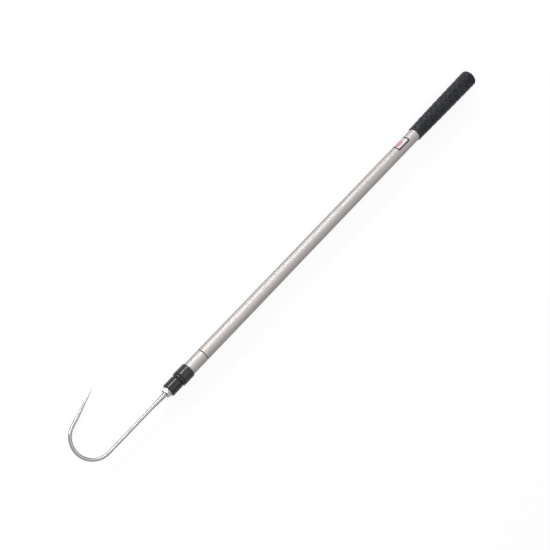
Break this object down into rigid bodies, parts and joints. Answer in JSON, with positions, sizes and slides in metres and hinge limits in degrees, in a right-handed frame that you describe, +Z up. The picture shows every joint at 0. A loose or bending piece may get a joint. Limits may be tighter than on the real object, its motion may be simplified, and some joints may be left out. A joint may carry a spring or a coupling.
{
  "type": "fishing gaff",
  "caption": "Telescopic fishing gaff: a round steel hook on a sliding aluminium pole with a twist lock and a moulded rubber grip.",
  "frame": {"origin": "centre of the flat butt face of the grip, on the axis of the tubes", "axes": "+X along the pole from the butt to the hook; +Z up from the ground that the gaff lies on; the hook's point is towards -Y, resting at the grip's level"},
  "size_m": [1.0898, 0.1136, 0.0344],
  "materials": {
    "black_rubber": "matt, moulded with a raised diamond pattern",
    "black_nylon": "satin moulding",
    "satin_aluminium": "satin, drawn along its length",
    "printed_vinyl": "smooth sticker with a plain dark border",
    "pale_nylon": "plain moulding",
    "plain_steel": "plain turned",
    "bright_steel": "polished stainless",
    "yellow_brass": "plain turned"
  },
  "bodies": {
    "outer_section": {"grip": "black_rubber", "tube_end_plug": "black_nylon", "outer_tube": "satin_aluminium", "label": "printed_vinyl", "guide_bush": "pale_nylon", "outer_collar": "black_nylon"},
    "lock_sleeve": {"expander_sleeve": "pale_nylon"},
    "lock_cone": {"expander_cone": "black_nylon"},
    "inner_section": {"inner_tube": "satin_aluminium", "rear_plug": "black_nylon", "rear_plug_pin": "plain_steel", "lock_stud": "plain_steel", "thrust_washer": "plain_steel", "stop_nut": "plain_steel", "twist_head": "black_nylon", "head_pin": "plain_steel", "threaded_insert": "yellow_brass", "nut_washer": "bright_steel", "lock_nut": "bright_steel", "hook_ferrule": "bright_steel", "hook": "bright_steel"}
  },
  "joints": [
    {"name": "telescope_slide", "type": "slide", "parent": "outer_section", "child": "lock_sleeve", "axis": [1, 0, 0], "range_m": [0, 0.678]},
    {"name": "lock_twist", "type": "hinge", "parent": "lock_sleeve", "child": "inner_section", "pos_m": [0.13, 0, 0], "axis": [1, 0, 0], "range_deg": [0, 360]},
    {"name": "cone_travel", "type": "slide", "parent": "lock_sleeve", "child": "lock_cone", "axis": [1, 0, 0], "range_m": [-0.0013, 0]}
  ],
  "couplings": [
    {"joint": "cone_travel", "follows": "lock_twist", "m_per_rad": -0.00019894}
  ]
}
